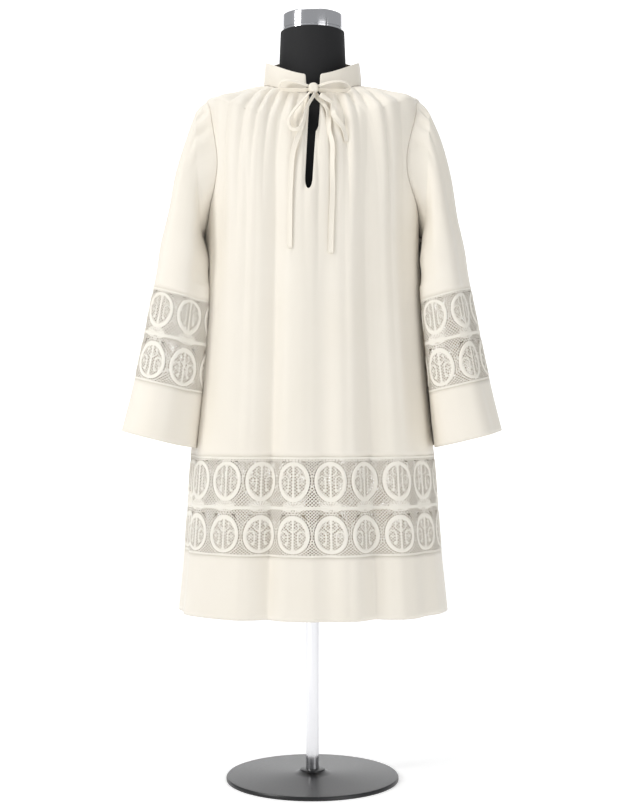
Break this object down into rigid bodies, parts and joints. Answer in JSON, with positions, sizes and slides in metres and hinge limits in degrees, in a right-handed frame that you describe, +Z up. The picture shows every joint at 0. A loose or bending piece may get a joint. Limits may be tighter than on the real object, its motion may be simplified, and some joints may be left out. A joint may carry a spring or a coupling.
{
  "type": "surplice on a dress form",
  "caption": "Ivory gathered surplice with lace bands, a stand collar and a tied bow, on a limbless black dress form on a pole.",
  "frame": {"origin": "centre of the base's underside, on the floor under the form's pole", "axes": "+Z up, the garment's front faces -Y, +X is the wearer's left"},
  "size_m": [0.7148, 0.3766, 1.463],
  "materials": {
    "cloth": "satin",
    "lace": "matte",
    "tie_cloth": "satin",
    "form_black": "matte",
    "chrome": "polished"
  },
  "bodies": {
    "root": {"form_base": "form_black", "form_pole": "chrome", "form_torso": "form_black", "form_neck_cap": "chrome", "front_panel": "cloth", "back_panel": "cloth", "collar": "cloth", "sleeve_left": "cloth", "sleeve_right": "cloth", "sleeve_lace_left_front": "lace", "sleeve_lace_left_back": "lace", "sleeve_lace_right_front": "lace", "sleeve_lace_right_back": "lace", "cuff_left": "cloth", "cuff_right": "cloth", "hem_lace_front": "lace", "hem_lace_back": "lace", "hem_front": "cloth", "hem_back": "cloth", "tie_knot": "tie_cloth", "tie_loop_left": "tie_cloth", "tie_loop_right": "tie_cloth", "tie_loop_low": "tie_cloth", "tie_tail_left": "tie_cloth", "tie_tail_right": "tie_cloth", "tie_tail_short": "tie_cloth"}
  },
  "joints": []
}
